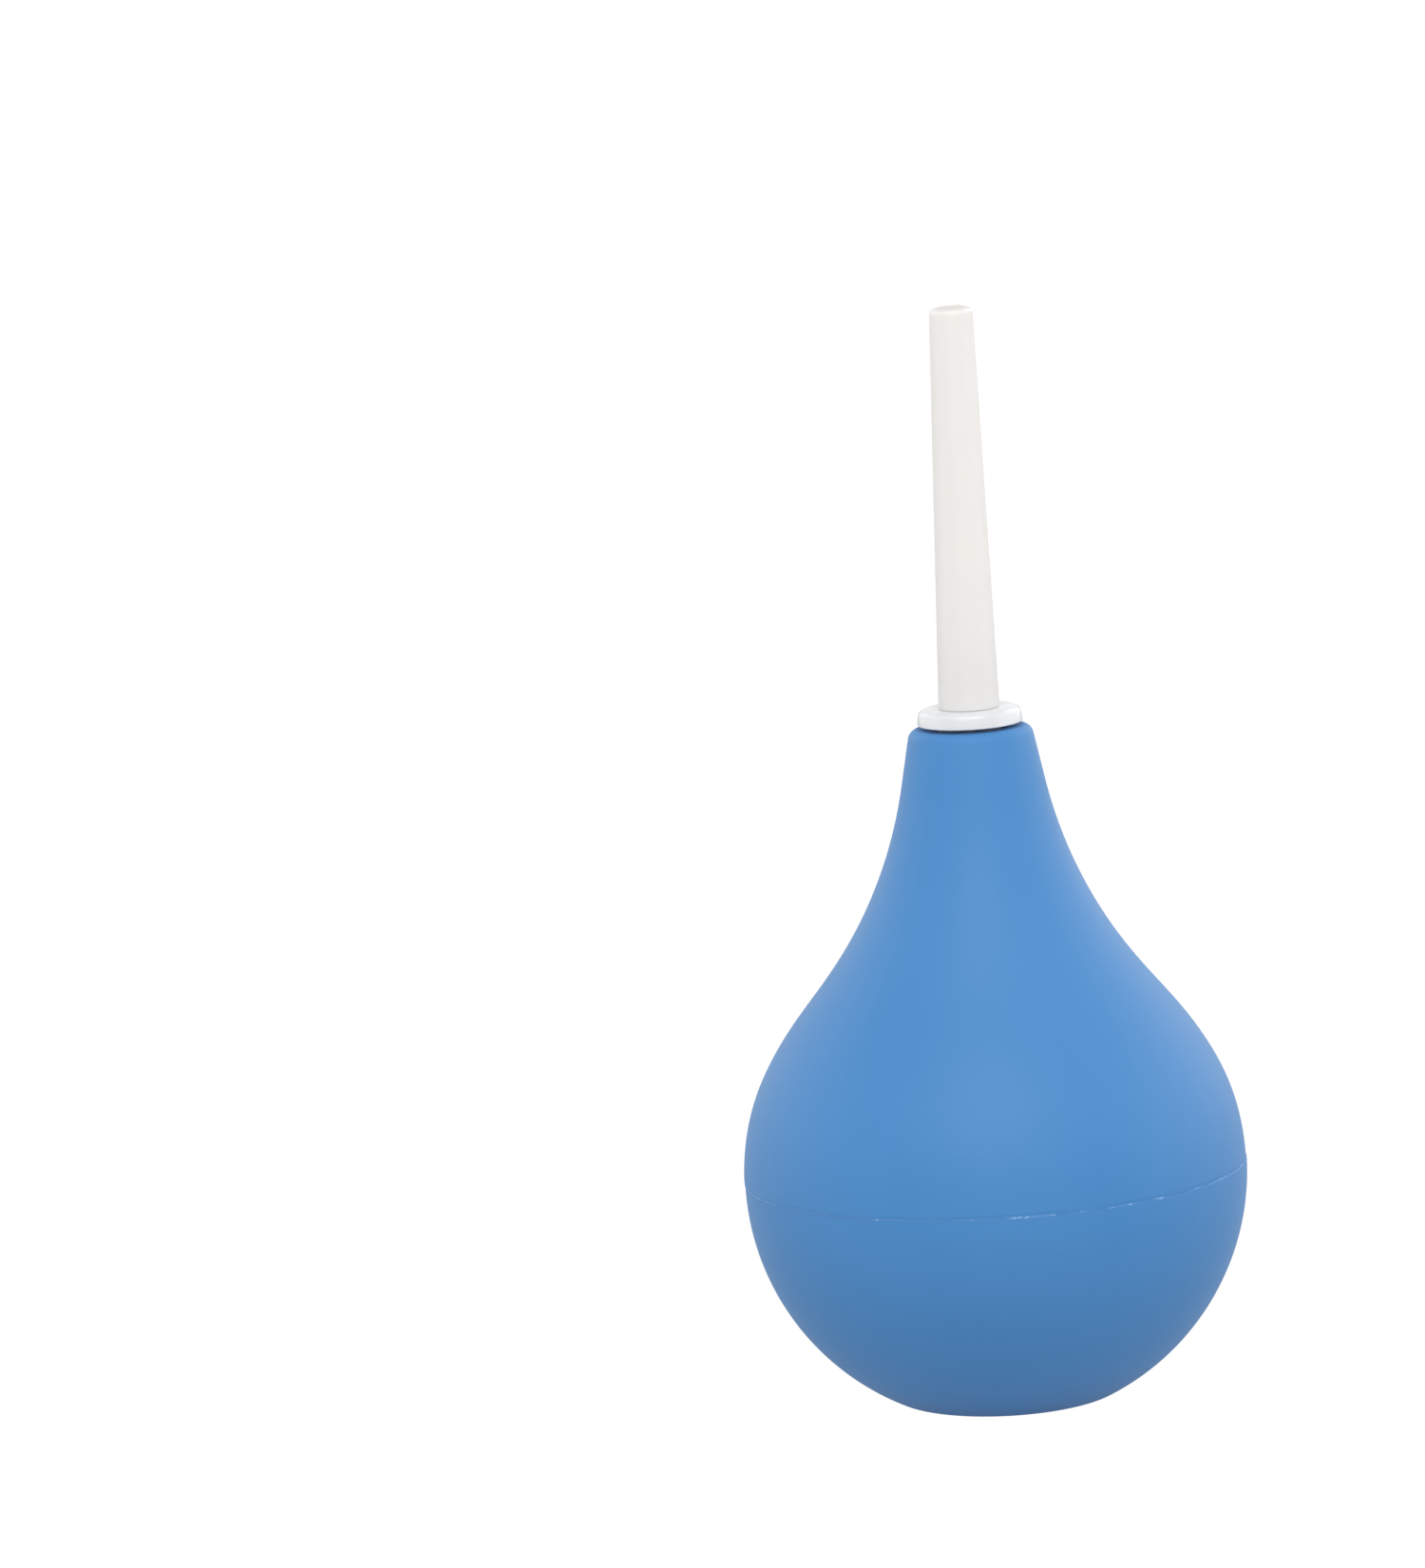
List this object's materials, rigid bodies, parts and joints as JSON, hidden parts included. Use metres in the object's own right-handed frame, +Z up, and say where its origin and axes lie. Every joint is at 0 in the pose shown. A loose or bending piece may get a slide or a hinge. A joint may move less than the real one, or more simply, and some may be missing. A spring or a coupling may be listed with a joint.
{
  "type": "pipette filler bulb",
  "caption": "Pear-shaped flexible squeeze bulb on a flat base, with a removable flanged nozzle in its neck: a tapered tube that draws up and pushes out air or liquid.",
  "frame": {"origin": "middle of the flat base, on the surface the bulb stands on", "axes": "+Z up the axis to the nozzle's tip; the object is round about +Z, so +X and +Y are alike"},
  "size_m": [0.086, 0.086, 0.1879],
  "materials": {
    "bulb_blue": "satin",
    "plug_white": "gloss",
    "tube_white": "satin"
  },
  "bodies": {
    "lower_bulb": {"bulb_lower": "bulb_blue"},
    "upper_bulb": {"bulb_upper": "bulb_blue"},
    "plug": {"nozzle_plug": "plug_white"},
    "tube": {"nozzle_tube": "tube_white"}
  },
  "joints": [
    {"name": "squeeze", "type": "slide", "parent": "lower_bulb", "child": "upper_bulb", "axis": [0, 0, -1], "range_m": [0, 0.025], "stiffness_N_per_m": 1200, "deforming": ["bulb_lower"]},
    {"name": "nozzle_pull", "type": "slide", "parent": "upper_bulb", "child": "plug", "axis": [0, 0, 1], "range_m": [0, 0.03]},
    {"name": "nozzle_turn", "type": "hinge", "parent": "plug", "child": "tube", "pos_m": [0, 0, 0.1197], "axis": [0, 0, 1], "continuous": true}
  ]
}
